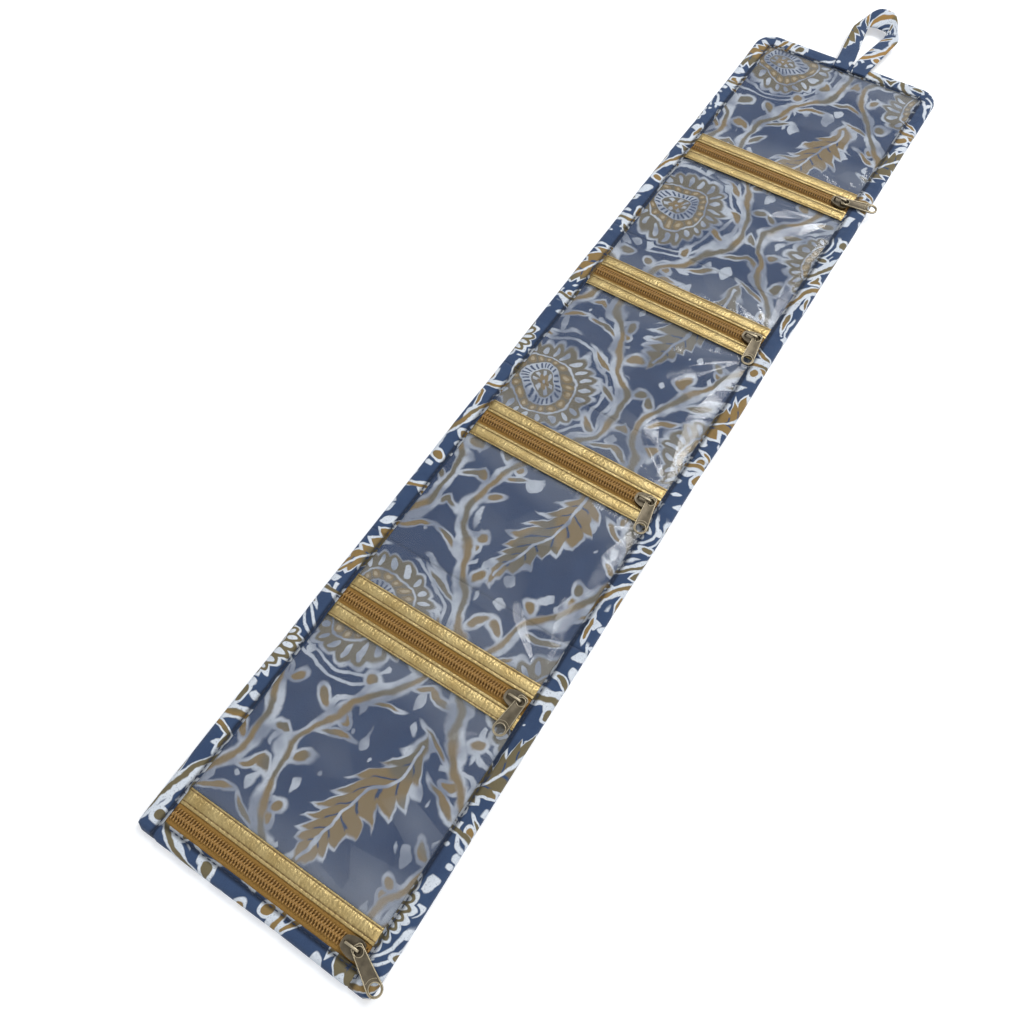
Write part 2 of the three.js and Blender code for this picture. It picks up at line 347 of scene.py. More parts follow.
# printed cotton: a block print of flowers, feather leaves and vines
printPlan = {
    "netWidth": 66.0,
    "netHeight": 100.0,
    "neck": 5.0,
    "stemHalf": 1.3,
    "outline": 0.95,
    "offPrint": 0.55,
    "flowerRadius": 17.0,
    "scallops": 11,
    "leafHalf": 8.5,
    "leafReach": 25.0,
    "leafNotch": 5.2,
    "petalPitch": 10.0,
    "edge": 0.25,
    "fade": 0.0,
    "wobble": (4.0, 4.4),
    "shiver": (22.0, 0.45),
    "rough": 0.6,
    "threadPitch": 0.55,
    "indigo": paint("3C5172"),
    "deepIndigo": paint("304262"),
    "white": paint("E4E9EF"),
    "dullWhite": paint("C6D0DC"),
    "khaki": paint("756A4B"),
    "ochre": paint("9E7B45"),
    "peach": paint("D3B486"),
}
liningChanges = {
    "white": paint("C4CAD3"),
    "dullWhite": paint("A8B2C0"),
    "indigo": paint("304466"),
    "deepIndigo": paint("263757"),
    "ochre": paint("7E6C4B"),
    "khaki": paint("676152"),
    "peach": paint("A4977C"),
    "leafHalf": 6.8,
    "outline": 1.25,
    "edge": 0.6,
    "fade": 0.62,
}
bindingChanges = {
    "leafHalf": 5.5,
    "flowerRadius": 13.0,
    "stemHalf": 1.0,
    "petalPitch": 7.5,
    "outline": 1.1,
    "ochre": paint("8C7347"),
    "khaki": paint("6E654C"),
}

# sizes inside the motifs: a ring or a mark is placed in from the flower's rim, or out from the vine
motif = {
    "sideLeafPitch": 12.5,
    "sideLeafOut": 5.4,
    "sideLeaf": (3.9, 2.3),
    "scallop": 1.7,
    "rayIn": 1.6,
    "ray": (2.0, 0.95),
    "ringIn": (4.2, 4.9),
    "beadIn": 6.3,
    "bead": (1.5, 0.7),
    "laceIn": 1.9,
    "laceLineIn": 3.6,
    "laceLine": (0.4, 1.2),
    "middleIn": 5.4,
    "starIn": 6.0,
    "starHalf": 0.8,
    "floret": (1.9, 1.25),
    "arcOut": 6.2,
    "arcApart": 1.7,
    "arcHalf": 0.6,
    "leafBend": 6.0,
    "ribSlant": 0.85,
    "notchDepth": 1.3,
    "veinHalf": 0.55,
    "ribHalf": 0.42,
    "curlAt": (19.0, 17.0),
    "curlRadius": 5.6,
    "curlHalf": 0.75,
    "bud": (2.9, 1.7),
    "stroke": 2.6,
}


# hand-cut lines: the cloth place pushed about by noise
def wobbled(place, u, v, scale, reach):
    apart = place.node("ShaderNodeSeparateColor", {0: place.noise(scale, 1.0, out=1)})
    return u + (apart - 0.5) * (2 * reach), v + (apart.also(1) - 0.5) * (2 * reach)


# short brush strokes scattered over the ground, no two alike
def loosePetals(u, v, rough, spacing):
    shape = {"Randomness": 0.9, "Exponent": 1.4}
    across, along = u / spacing + rough * 0.06, v / (spacing * 1.5)
    strokes, chosen = cellsAt(across, along, shape, distance="MINKOWSKI")
    return (strokes * spacing + rough * 0.5 + chosen * 2.2).below(motif["stroke"])


def floralColor(place, u, v, plan):
    u, v = wobbled(place, u, v, *plan["wobble"])
    u, v = wobbled(place, u, v, *plan["shiver"])
    rough = place.drift(45.0) * plan["rough"]
    edge = plan["edge"]
    outline = (place.drift(7.0) * 3.2 + 1.0).over(0.25) * plan["outline"]
    netWidth, netHeight = plan["netWidth"], plan["netHeight"]
    turnV = v * (2 * math.pi / netHeight)
    au = u.wrap(netWidth)
    av = v.wrap(netHeight)
    bu = (u + netWidth / 2).wrap(netWidth)
    bv = (v + netHeight / 2).wrap(netHeight)

    # vines: wavy lines kept to one width where they slant, with small leaves on both sides
    swing = netWidth / 4 - plan["neck"]
    slope = turnV.sin() * (swing * 2 * math.pi / netHeight)
    offVine = (abs(au) - (turnV.cos() * swing + netWidth / 4)) / (slope * slope + 1.0).root()
    toVine = abs(offVine) + rough * 0.6 + place.drift(6.0, 0.0) * 1.8
    vine = (abs(offVine - plan["offPrint"]) + rough * 0.6).below(plan["stemHalf"] * 0.85, edge)
    vineEdge = toVine.below(outline + plan["stemHalf"], edge)
    pitch = motif["sideLeafPitch"]
    long, wide = motif["sideLeaf"]
    alongVine = (v + offVine.below(0.0, 0.01) * (pitch / 2)).wrap(pitch)
    outOfVine = abs(offVine) - motif["sideLeafOut"]
    sideLeaf = length(outOfVine / long, (alongVine - outOfVine * 0.7) / wide) + rough * 0.12
    sideLeafEdge = sideLeaf.below(1.0, edge * 0.32)
    sideLeafFill = sideLeaf.below(0.6, edge * 0.24)

    # round flowers: scalloped rim with rays, a ring of beads, a fine-lined ring and a starry middle
    radius = length(au, av) + rough * 0.45
    angle = av.math("ARCTAN2", av, au)

    def spoke(count):
        return angle.wrap(2 * math.pi / count) * radius

    outer = plan["flowerRadius"]
    rim = radius - abs((angle * plan["scallops"]).cos()) * motif["scallop"]
    flowerEdge = rim.below(outline + outer, edge)
    flowerRim = rim.below(outer, edge)
    long, wide = motif["ray"]
    ray = length((radius - (outer - motif["rayIn"])) / long, spoke(2 * plan["scallops"]) / wide)
    rays = ray.below(1.0, 0.12)
    ringEdge, ringFill = [radius.below(outer - ringIn) for ringIn in motif["ringIn"]]
    beadRadius = outer - motif["beadIn"]
    toBead = length(radius - beadRadius, spoke(18))
    beads, beadLights = [toBead.below(size) for size in motif["bead"]]
    lace = radius.below(beadRadius - motif["laceIn"])
    thin, long = motif["laceLine"]
    laceLines = abs(spoke(24)).below(thin) * abs(radius - (beadRadius - motif["laceLineIn"])).below(long)
    middle = radius.below(beadRadius - motif["middleIn"])
    star = abs(spoke(7)).below(motif["starHalf"]) * radius.below(beadRadius - motif["starIn"])
    halfTurn = (angle + place.drift(1.3, 0.0) * 4.0).cos()
    arcs = abs(abs(radius - outer - motif["arcOut"]) - motif["arcApart"]).below(motif["arcHalf"])
    arcs = arcs * (halfTurn * -1.0).below(0.1, 0.08)
    floretAt, floretRadius = motif["floret"]
    florets = length(radius - floretAt, spoke(5)).below(floretRadius)

    # feather leaves between the flowers, notched along both sides
    reach = plan["leafReach"]
    side = abs(bu - (bv * (math.pi / (2 * reach))).sin() * motif["leafBend"])
    notch = (bv + side * motif["ribSlant"]).wrap(plan["leafNotch"])
    swell = (1 - (bv / reach) * (bv / reach)).over(0.0)
    depth = motif["notchDepth"]
    leafShape = side - swell * plan["leafHalf"] - (abs(notch) - depth) * swell * depth + rough * 0.5
    inLeaf = abs(bv).below(reach + 1.0, 0.5)
    leafEdge = leafShape.below(outline, edge) * inLeaf
    leaf = leafShape.below(0.0, edge) * inLeaf
    vein = (side + rough * 0.3).below(motif["veinHalf"]) * abs(bv).below(reach - 3)
    ribs = abs(notch).below(motif["ribHalf"]) * leafShape.below(-1.2) * inLeaf

    # curled tendrils with a bud, four round each leaf
    curlU = abs(bu) - motif["curlAt"][0]
    curlV = abs(bv) - motif["curlAt"][1]
    curl = length(curlU, curlV) + rough * 0.4
    tendril = abs(curl - motif["curlRadius"]).below(motif["curlHalf"])
    tendril = tendril * (curlU * -1.0 - curlV * 0.6).below(2.6, 0.3)
    budEdge, bud = [curl.below(size) for size in motif["bud"]]

    # loose petals on open ground, cut to short angular strokes
    petals = loosePetals(u, v, rough, plan["petalPitch"])
    petals = petals * (1 - toVine.below(4.0, 0.5)) * (1 - rim.below(outer + 2.6))

    # colours laid block by block, each a little uneven
    khaki, ochre = plan["khaki"], plan["ochre"]
    patch = place.noise(9.0, 3.0)
    dyed = mix(patch, plan["deepIndigo"], plan["indigo"])
    earth = mix(place.noise(3.2, 1.0).below(0.5, 0.05), ochre, khaki)
    dry = place.noise(120.0, 2.0).below(0.33, 0.06)
    white = mix(patch, plan["dullWhite"], plan["white"])
    washed = place.noise(5.5, 2.0).below(0.5, 0.16) * plan["fade"]
    white = mix((dry * 0.4).over(washed), white, dyed)
    color = dyed
    for mask, block in [
        (petals, white), (arcs, white), (tendril, white), (budEdge, white), (bud, ochre),
        (sideLeafEdge, white), (sideLeafFill, earth), (vineEdge, white), (vine, earth),
        (leafEdge, white), (leaf, earth), (ribs, dyed), (vein, white),
        (flowerEdge, white), (flowerRim, khaki), (rays, white), (ringEdge, white),
        (ringFill, khaki), (beads, ochre), (beadLights, plan["peach"]), (lace, white),
        (laceLines, dyed), (middle, khaki), (star, white), (florets, ochre),
    ]:
        color = mix(mask, color, block)
    return color


def printedCotton(name, plan, scale, shift=(0.0, 0.0)):
    material, wire = startMaterial(name)
    place, u, v = clothPlace(wire)
    color = floralColor(place, u * scale + shift[0], v * scale + shift[1], plan)
    # painted shade: the cloth darkens in the crease beside the binding's stitch line, by a share kept on the
    # mesh; weave and slub vary the cloth's own tone
    paintedSeamShade = wire.node("ShaderNodeAttribute", out=2, attribute_name="paintedSeamShade")
    turn = 2 * math.pi / plan["threadPitch"]
    weave = (u * turn).sin() * (v * turn).sin()
    slub = place.drift(140.0, 2.0)
    shade = (weave * 0.05 + slub * 0.2 + 0.97) * (1 - paintedSeamShade * 0.68)
    crumple = place.noise(12.0, 3.0)
    return finishMaterial(material, wire, {
        "Base Color": mix(1.0, color, grey(shade), blend_type="MULTIPLY"),
        "Roughness": 0.86,
        "Sheen Weight": 0.12,
        "Sheen Roughness": 0.5,
        "Specular IOR Level": 0.25,
        "Normal": bumpFrom(weave * 0.18 + slub * 0.5 + crumple * 1.6, 0.28),
    })


# clear soft vinyl: two thin glossy faces with a faint haze, a painted glare near the zips and on some
# facets, and soft ripples
filmPlan = {
    "tint": paint("6F7B90"),
    # a pale colour for the film's own haze and for the painted glare
    "milkAndGlare": paint("C3CCD8"),
    "alpha": 0.029,
    "haze": 0.019,
    # how opaque the painted glare by the zips is, and how far from the zip it reaches
    "zipGlareAlpha": 0.04,
    "zipReach": (34.0, 14.0),
    "puckerPitch": 3.0,
    "puckerFrom": (46.0, 16.5),
    "pucker": 0.16,
    # size of the painted glare facets, the share of cells that carry it, and how opaque it is
    "facet": (26.0, 17.0),
    "facetShare": 0.4,
    "facetGlareAlpha": 0.055,
}


def clearVinyl(plan):
    material, wire = startMaterial("clearVinyl")
    place, u, v = clothPlace(wire)
    cloud = place.noise(3.0, 2.0)
    ripple = place.noise(3.5, 0.5)
    far, near = plan["zipReach"]
    toZip = abs((v - zipYs[0]).wrap(zipYs[0] - zipYs[1]))
    # painted glare: paler, more opaque film near the zips, more of it toward the slider side
    paintedZipGlare = (toZip + (cloud - 0.5) * 22.0 - u * 0.16).below((far + near) / 2, (far - near) / 2)
    # puckers from stitch to stitch along the sewn edges
    turn = 2 * math.pi / plan["puckerPitch"]
    fromSide, fromZip = plan["puckerFrom"]
    uneven = place.noise(7.0, 1.0)
    sidePucker = (v * turn).sin() * (1 - abs(u).below(fromSide, 4.0))
    pucker = sidePucker + (u * turn).sin() * toZip.below(fromZip, 3.5)
    # flat facets between creases: some are painted paler and more opaque as a painted glare of the light,
    # mostly toward the slider side
    wide, high = plan["facet"]
    toMiddle, chosen = cellsAt(u / wide + v / (2 * high), v / high - u / (3 * wide), {})
    facet = chosen.below(plan["facetShare"], 0.03) * (1 - toMiddle).over(0.0)
    facet = facet * (1 - u.below(8.0, 42.0) * 0.85)
    return finishMaterial(material, wire, {
        "Base Color": mix((cloud + paintedZipGlare + facet).under(1.0), plan["tint"], plan["milkAndGlare"]),
        "Roughness": 0.1,
        "IOR": 2.4,
        "Specular IOR Level": 1.0,
        "Alpha": cloud * plan["haze"] + paintedZipGlare * plan["zipGlareAlpha"] + facet * plan["facetGlareAlpha"] + plan["alpha"],
        "Normal": bumpFrom(ripple + pucker * uneven * plan["pucker"], 0.45),
    })


# gold leatherette: metallic, fine-grained, with a few worn specks, dull along the stitch lines, where
# painted shade darkens the grooves
# the darkest colour serves both the worn specks and the painted shade in the stitch grooves
goldPlan = {"gold": paint("9F8550"), "shine": paint("CBB885"), "wornAndGrooveShade": paint("5A4322"), "grooveHalf": 0.3}


def goldLeatherette(plan):
    material, wire = startMaterial("goldLeatherette")
    place, along, across = clothPlace(wire)
    crinkle = place.noise(80.0, 5.0)
    broad = place.noise(9.0, 3.0)
    pleatPlace = wire.node("ShaderNodeCombineXYZ", {0: along * 0.9, 1: across * 0.22})
    pleat = pleatPlace.noise(1.0, 2.0)
    toSeam = abs(across - trimSeams[0]).under(abs(across - trimSeams[1]))
    groove = toSeam.below(plan["grooveHalf"], 0.3)
    color = mix(broad, plan["gold"], plan["shine"])
    color = mix(crinkle.below(0.4, 0.1) * 0.12, color, plan["wornAndGrooveShade"])
    return finishMaterial(material, wire, {
        # painted shade in the sunk stitch grooves; the grooves also have less metal and more roughness
        "Base Color": mix(groove * 0.7, color, plan["wornAndGrooveShade"]),
        "Metallic": 0.88 - groove * 0.5,
        "Roughness": crinkle * 0.22 + groove * 0.15 + 0.24,
        "Normal": bumpFrom(crinkle * 1.4 + pleat * 0.9 + broad * 1.1, 0.22),
    })


# woven zip tape, with painted shade under the coil
tapePlan = {
    "ochre": paint("A87F38"),
    "dark": paint("85632A"),
    "shade": paint("765424"),
    "shadeHalf": 2.6,
    "ribPitch": 0.7,
}


def zipTape(plan):
    material, wire = startMaterial("zipTape")
    place, along, across = clothPlace(wire)
    turn = 2 * math.pi / plan["ribPitch"]
    rib = ((along + across) * turn).sin() * 0.5 + ((along - across) * turn).sin() * 0.5
    fuzz = place.noise(90.0, 3.0)
    color = mix(rib * 0.3 + fuzz * 0.5 + 0.2, plan["dark"], plan["ochre"])
    return finishMaterial(material, wire, {
        # painted shade along the middle of the tape, under the coil
        "Base Color": mix(abs(across).below(plan["shadeHalf"], 0.4) * 0.85, color, plan["shade"]),
        "Roughness": 0.8,
        "Sheen Weight": 0.1,
        "Normal": bumpFrom(rib * 0.6 + fuzz, 0.15),
    })


def coilNylon(dark, light):
    material, wire = startMaterial("coilNylon")
    patch = objectPlace(wire).noise(900.0, 2.0, space="3D")
    return finishMaterial(material, wire, {
        "Base Color": mix(patch, dark, light),
        "Roughness": patch * 0.2 + 0.28,
        "Normal": bumpFrom(patch, 0.05),
    })


threadTwist = 0.4


def sewingThread(name, dark, light):
    material, wire = startMaterial(name)
    apart = wire.node("ShaderNodeSeparateXYZ", {0: objectPlace(wire)})
    twist = ((apart + apart.also(1)) * (2 * math.pi / (threadTwist * mm))).sin()
    return finishMaterial(material, wire, {
        "Base Color": mix(twist * 0.5 + 0.5, dark, light),
        "Roughness": 0.7,
        "Normal": bumpFrom(twist, 0.05),
    })


# antique brass plating: patches of patina over fine spots
def antiqueBrass(name, low, high, roughness):
    material, wire = startMaterial(name)
    place = objectPlace(wire)
    patina = place.noise(420.0, 4.0, space="3D")
    spots = place.noise(1800.0, 2.0, space="3D")
    return finishMaterial(material, wire, {
        "Base Color": mix(patina, low, high),
        "Metallic": 1.0,
        "Roughness": patina * 0.22 + spots * 0.12 + roughness,
        "Normal": bumpFrom(spots + patina, 0.06),
    })


coverCotton = printedCotton("printedCotton", printPlan, 0.82)
bindingCotton = printedCotton("bindingCotton", {**printPlan, **bindingChanges}, 0.76)
liningCotton = printedCotton("printedLining", {**printPlan, **liningChanges}, 0.64, (24.0, 12.0))
vinyl = clearVinyl(filmPlan)
gold = goldLeatherette(goldPlan)
tapeCloth = zipTape(tapePlan)
nylon = coilNylon(paint("805D2B"), paint("AE8648"))
trimThread = sewingThread("trimThread", paint("4E3A1E"), paint("84683A"))
navyThread = sewingThread("navyThread", paint("161E30"), paint("2B3852"))
brass = antiqueBrass("antiqueBrass", paint("4A443B"), paint("79705F"), 0.28)
wornBrass = antiqueBrass("wornBrass", paint("948871"), paint("C4B99F"), 0.22)
print("materials made")


# pieces that cross a fold run from the middle of one panel to the middle of the next
clothSpans = []
for fold in range(1, pocketCount):
    upper = stripTop if fold == 1 else midPanelYs[fold - 2]
    lower = stripBottom if fold == pocketCount - 1 else midPanelYs[fold - 1]
    clothSpans.append((fold, upper, lower))

cornerRadius = 13.0
cornerX = halfWidth - cornerRadius
cornerY = stripTop - cornerRadius


# a point of a full-width sheet, moved in where the strip's top corners are rounded
def roundCorner(x, y):
    away = Vector((abs(x) - cornerX, y - cornerY))
    if min(away) <= 0:
        return x, y
    away = away.normalized() * max(away)
    return math.copysign(cornerX + away.x, x), cornerY + away.y


# a sheet across the strip, with its own height at each place, and its flat size in metres
def laySheet(name, plan, bottom, top, heightAt, shift=(0.0, 0.0)):
    def flatPlace(s, t):
        return roundCorner(acrossStrip(s), lerp(bottom, top, t))

    def place(s, t):
        x, y = flatPlace(s, t)
        return x, y, heightAt(x, y)

    def clothAt(s, t):
        x, y = flatPlace(s, t)
        return x + shift[0], y + shift[1]

    rows = round((top - bottom) / plan["step"])
    obj = layGrid(name, plan["columns"], rows, place, clothAt)
    return obj, (2 * layerHalf * mm, (top - bottom) * mm)


# the solids under the cloth at a fold: the panel below it, and at the first fold the one above it too
def solidsAt(kind, fold):
    return [f"{kind}_{panel}" for panel in range(1 if fold == 1 else fold + 1, fold + 2)]


# outer cotton on its foam: flat underneath, lifted at the edges to run into the binding
coverPlan = {
    "thickness": 0.8,
    "rimLift": 0.75,
    "rimRun": 2.5,
    "hemOver": 2.0,
    "puff": 0.25,
    "puffSize": 26.0,
    "step": 1.8,
    "columns": 44,
    "shift": (31.0, 17.0),
}


def coverSheet(fold, bottom, top):
    def heightAt(x, y):
        toEdge = min(halfWidth - abs(x), stripTop - y, y - stripBottom + coverPlan["hemOver"])
        lift = 1 - smooth(bindingWidth - coverPlan["rimRun"], bindingWidth, toEdge)
        swell = 0.5 + 0.5 * soft(x / coverPlan["puffSize"], y / coverPlan["puffSize"])
        return ground + coverPlan["rimLift"] * lift + coverPlan["puff"] * swell * (1 - lift)

    obj = laySheet(pair("cover", fold), coverPlan, bottom, top, heightAt, coverPlan["shift"])[0]
    with editing(obj):
        bpy.ops.mesh.flip_normals()
    dressCloth(obj, coverPlan["thickness"], coverCotton)
    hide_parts(*solidsAt("back", fold))
    bendAtFold(obj, fold)


# lining behind the pockets
liningPlan = {"thickness": 0.3, "wave": 0.14, "step": 1.8, "columns": 40}


def liningSheet(fold, bottom, top):
    def heightAt(x, y):
        return liningTop - liningPlan["wave"] * (0.5 + soft(x / 18, y / 22, 3.0))

    obj, flat = laySheet(pair("lining", fold), liningPlan, bottom, top, heightAt)
    dressCloth(obj, liningPlan["thickness"], liningCotton)
    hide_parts(*solidsAt("lining", fold))
    pair("cover", fold)
    bendAtFold(obj, fold)


for fold, upper, lower in clothSpans:
    top = min(upper, stripTop - edgeInset)
    bottom = max(lower, stripBottom + edgeInset)
    coverSheet(fold, bottom, top)
    liningSheet(fold, bottom, top)
print("cover and lining laid")


# binding: cloth folded round the edge, high over the trims and drawn down to the film between them
bindingPlan = {
    "cloth": 0.45,
    "openTop": 4.4,
    "openEdge": 3.2,
    "zipEdge": bindingTop - 0.4,
    "zipRun": 5.5,
    "round": 2.4,
    "stitchIn": 1.3,
    "bead": 0.22,
    "beadEnd": 0.4,
    "lip": 0.35,
    "lipDrop": 0.45,
    "gather": 0.24,
    "gatherPitch": 6.3,
    "crumple": 0.25,
    "topAbove": 1.5,
    "puffFrom": (2.0, 5.0),
    "puffTo": (1.6, 0.9),
    # how far from the stitch line the painted shade in the crease stays full, and where it is gone
    "paintedSeamShade": (0.35, 1.9),
    "step": 1.6,
    "columns": 36,
    "sway": 0.8,
    "endRound": 3.2,
    "endHeight": 1.4,
    "endRun": 1.6,
    "endPress": 0.35,
    "tuckRun": (1.5, 0.8),
    "tuckIn": 0.9,
    "tuckHeight": (0.6, 0.72),
    "bias": math.radians(38),
}


def zipLift(y):
    return max(1 - smooth(trimFar, trimFar + bindingPlan["zipRun"], abs(y - zipY)) for zipY in zipYs)


def seamHeight(lift):
    return lerp(bindingPlan["openEdge"], bindingPlan["zipEdge"], lift)


# depth in from the edge and height, for a share of the way round the folded cloth from below
def bindingSection(s, width, lift):
    top = lerp(bindingPlan["openTop"], bindingTop, lift)
    turn = bindingPlan["round"]
    flat = width - turn
    arc = math.pi * (turn + top / 2) / 2
    reach = s * (2 * flat + arc)
    if reach < flat:
        return width - reach, ground
    if reach < flat + arc:
        angle = math.pi * (reach - flat) / arc
        return turn - turn * math.sin(angle), top / 2 - top / 2 * math.cos(angle) + ground
    depth = turn + reach - flat - arc
    seam = width - bindingPlan["stitchIn"]
    height = lerp(top, seamHeight(lift), smooth(turn + 1.0, seam, depth))
    height += bindingPlan["bead"] * smooth(seam, width - bindingPlan["beadEnd"], depth)
    height -= bindingPlan["lipDrop"] * smooth(width - bindingPlan["lip"], width, depth)
    return depth, height


def bindingStrip(name, run, edgeAt, width, printStart, lining, shapeEnd=None):
    rows = round(run / bindingPlan["step"])
    turn = bindingPlan["round"]
    developed = 2 * (width - turn) + math.pi * (turn + bindingTop / 2) / 2
    puffEnd, puffGone = [width - inset for inset in bindingPlan["puffTo"]]
    cosBias = math.cos(bindingPlan["bias"])
    sinBias = math.sin(bindingPlan["bias"])

    def place(s, t):
        point, inward = edgeAt(t * run)
        station = point.x + point.y
        depth, height = bindingSection(s, width, zipLift(point.y))
        onTop = 0.0
        if height > bindingPlan["topAbove"]:
            onTop = smooth(*bindingPlan["puffFrom"], depth) * (1 - smooth(puffEnd, puffGone, depth))
        turns = station * 2 * math.pi / bindingPlan["gatherPitch"] + 3 * soft(station / 17, point.x)
        height += onTop * bindingPlan["gather"] * math.sin(turns) * (0.6 + soft(station / 9, 2.0))
        height += onTop * bindingPlan["crumple"] * soft(station / 14, depth / 8, point.x)
        sway = bindingPlan["sway"] * soft(station / 55, point.x / 90) * (1 - smooth(0, width, depth))
        flat = point + inward * (depth + sway)
        spot = Vector((flat.x, flat.y, max(ground, height)))
        return shapeEnd(spot) if shapeEnd else spot

    # cut on the bias
    def clothAt(s, t):
        along = printStart + t * run
        across = s * developed
        return along * cosBias - across * sinBias, along * sinBias + across * cosBias

    # painted shade in the crease beside the stitch line, on the top of the binding only
    def paintedSeamShadeAt(s, t):
        fromSeam = abs((1 - s) * developed - bindingPlan["stitchIn"])
        return 1 - smooth(*bindingPlan["paintedSeamShade"], fromSeam) if s > 0.5 else 0.0

    obj = layGrid(name, bindingPlan["columns"], rows, place, clothAt, paintedSeamShadeAt)
    dressCloth(obj, bindingPlan["cloth"], bindingCotton)
    developed * mm
    run * mm
    return obj


# the lower ends of the side bindings are turned in and a little rounded
def closeEnd(spot):
    fromEnd = spot.y - stripBottom
    radius = bindingPlan["endRound"]
    if fromEnd >= radius:
        return spot
    pullIn = radius - math.sqrt(max(0.0, radius * radius - (radius - fromEnd) ** 2))
    pullIn *= 1 - smooth(0, 2 * radius, halfWidth - abs(spot.x))
    flatten = 1 - smooth(0, bindingPlan["endRun"], fromEnd)
    pressed = lerp(bindingPlan["endHeight"], spot.z, bindingPlan["endPress"])
    return Vector((math.copysign(abs(spot.x) - pullIn, spot.x), spot.y, lerp(spot.z, pressed, flatten)))


# the hem's two ends are thinner, to lie inside the side bindings
def tuckEnd(spot):
    before, after = bindingPlan["tuckRun"]
    low, share = bindingPlan["tuckHeight"]
    tuck = smooth(innerHalf - before, innerHalf + after, abs(spot.x))
    return Vector((spot.x, spot.y + bindingPlan["tuckIn"] * tuck, lerp(spot.z, low + spot.z * share, tuck)))


# stitches: one small rounded stitch, copied along a row and set on the cloth
stitchPlan = {"length": 2.3, "gap": 0.8, "sides": 6}
clothStitch = {"radius": 0.34, "lift": 0.12, "first": 0.5}
trimStitch = {"radius": 0.26, "lift": 0.14, "first": 0.3}
stitchPitch = stitchPlan["length"] + stitchPlan["gap"]


def stitchRow(name, count, place, material, radius):
    size = {"vertices": stitchPlan["sides"], "radius": radius * mm, "depth": mm}
    obj = start(name, bpy.ops.mesh.primitive_cylinder_add, end_fill_type="TRIFAN", **size)
    with editing(obj):
        bpy.ops.mesh.subdivide(number_cuts=1)
    base = [vert.co / mm for vert in obj.data.vertices]
    repeat(obj, count, 1)
    for index, vert in enumerate(obj.data.vertices):
        copy, corner = divmod(index, len(base))
        begin, end = place(copy)
        local = base[corner]
        share = local.z + 0.5
        run = end - begin
        across = run.cross(Vector((0, 0, 1))).normalized()
        up = across.cross(run).normalized()
        swell = math.sqrt(max(0.05, 1 - (2 * share - 1) ** 2 * 0.9))
        middle = begin.lerp(end, share) + up * (radius * 0.9 * (4 * share * (1 - share) - 0.55))
        vert.co = (middle + (across * local.x + up * local.y) * swell) * mm
    bpy.ops.object.shade_smooth()
    dress(obj, material)
    return obj


def stitchBinding(name, run, edgeAt, width):
    count = int((run - 1) / stitchPitch)

    def onCloth(distance):
        point, inward = edgeAt(distance)
        flat = point + inward * (width - bindingPlan["stitchIn"])
        return Vector((flat.x, flat.y, seamHeight(zipLift(point.y)) + clothStitch["lift"]))

    def place(copy):
        begin = clothStitch["first"] + copy * stitchPitch
        return onCloth(begin), onCloth(begin + stitchPlan["length"])

    return stitchRow(name, count, place, navyThread, clothStitch["radius"])


headLower = clothSpans[0][2]
headSide = cornerY - headLower
headRun = 2 * (headSide + cornerX) + math.pi * cornerRadius


# a point on the strip's edge and the direction in from it, this far round the head from its lower left
def headEdge(distance):
    if distance > headRun / 2:
        point, inward = headEdge(headRun - distance)
        return Vector((-point.x, point.y)), Vector((-inward.x, inward.y))
    if distance < headSide:
        return Vector((-halfWidth, headLower + distance)), Vector((1, 0))
    angle = (distance - headSide) / cornerRadius
    if angle < math.pi / 2:
        inward = Vector((math.cos(angle), -math.sin(angle)))
        return Vector((-cornerX, cornerY)) - inward * cornerRadius, inward
    return Vector((distance - headRun / 2, stripTop)), Vector((0, -1))


# the same for a straight edge, which is walked with the cloth on the right
def straightEdge(begin, way):
    inward = Vector((way[1], -way[0]))
    return lambda distance: (Vector([b + w * distance for b, w in zip(begin, way)]), inward)


head = bindingStrip("binding_head", headRun, headEdge, bindingWidth, headLower, "lining_1_2")
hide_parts("binding_top", "binding_left_2", "binding_right_2")
bendAtFold(head, 1)
bendAtFold(stitchBinding("stitching_head", headRun, headEdge, bindingWidth), 1)

for fold, upper, lower in clothSpans[1:]:
    shapeEnd = closeEnd if lower == stripBottom else None
    run = upper - lower
    leftEdge = straightEdge((-halfWidth, lower), (0, 1))
    rightEdge = straightEdge((halfWidth, upper), (0, -1))
    rightPrint = headRun + 2 * headLower - upper
    for side, edgeAt, printStart in (("left", leftEdge, lower), ("right", rightEdge, rightPrint)):
        name = pair(f"binding_{side}", fold)
        strip = bindingStrip(name, run, edgeAt, bindingWidth, printStart, pair("lining", fold), shapeEnd)
        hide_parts(f"binding_{side}_{fold + 1}")
        bendAtFold(strip, fold)
        bendAtFold(stitchBinding(pair(f"stitching_{side}", fold), run, edgeAt, bindingWidth), fold)

hemHalf = halfWidth - 3.0
hemPrint = 500.0
hemEdge = straightEdge((hemHalf, stripBottom), (-1, 0))
hemSeam = straightEdge((innerHalf, stripBottom), (-1, 0))
hem = bindingStrip("hem", 2 * hemHalf, hemEdge, hemWidth, hemPrint, "lining_4_5", tuckEnd)
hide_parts("hem_bottom")
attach(hem, "panel_5")
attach(stitchBinding("stitching_hem", 2 * innerHalf, hemSeam, hemWidth), "panel_5")
print("bindings and hem sewn")


# clear windows: held flat under the tapes, slack between, pulled into fans of creases at the closed ends
windowPlan = {
    "thickness": 0.2,
    "tuck": 4.5,
    "slack": 0.7,
    "wave": 0.55,
    "lowest": -0.4,
    "heldEdge": 6.0,
    "freeRun": 9.0,
    "fanIn": 5.5,
    "fanRise": 0.05,
    "fanStart": (4.0, 11.0),
    "fanEnd": (18.0, 56.0),
    "fanFolds": 5.0,
    "step": 1.6,
    "columns": 80,
}
filmFromZip = tapeReach - windowPlan["tuck"]


def zigzag(turns):
    return 1 - 4 * abs(turns - math.floor(turns) - 0.5)


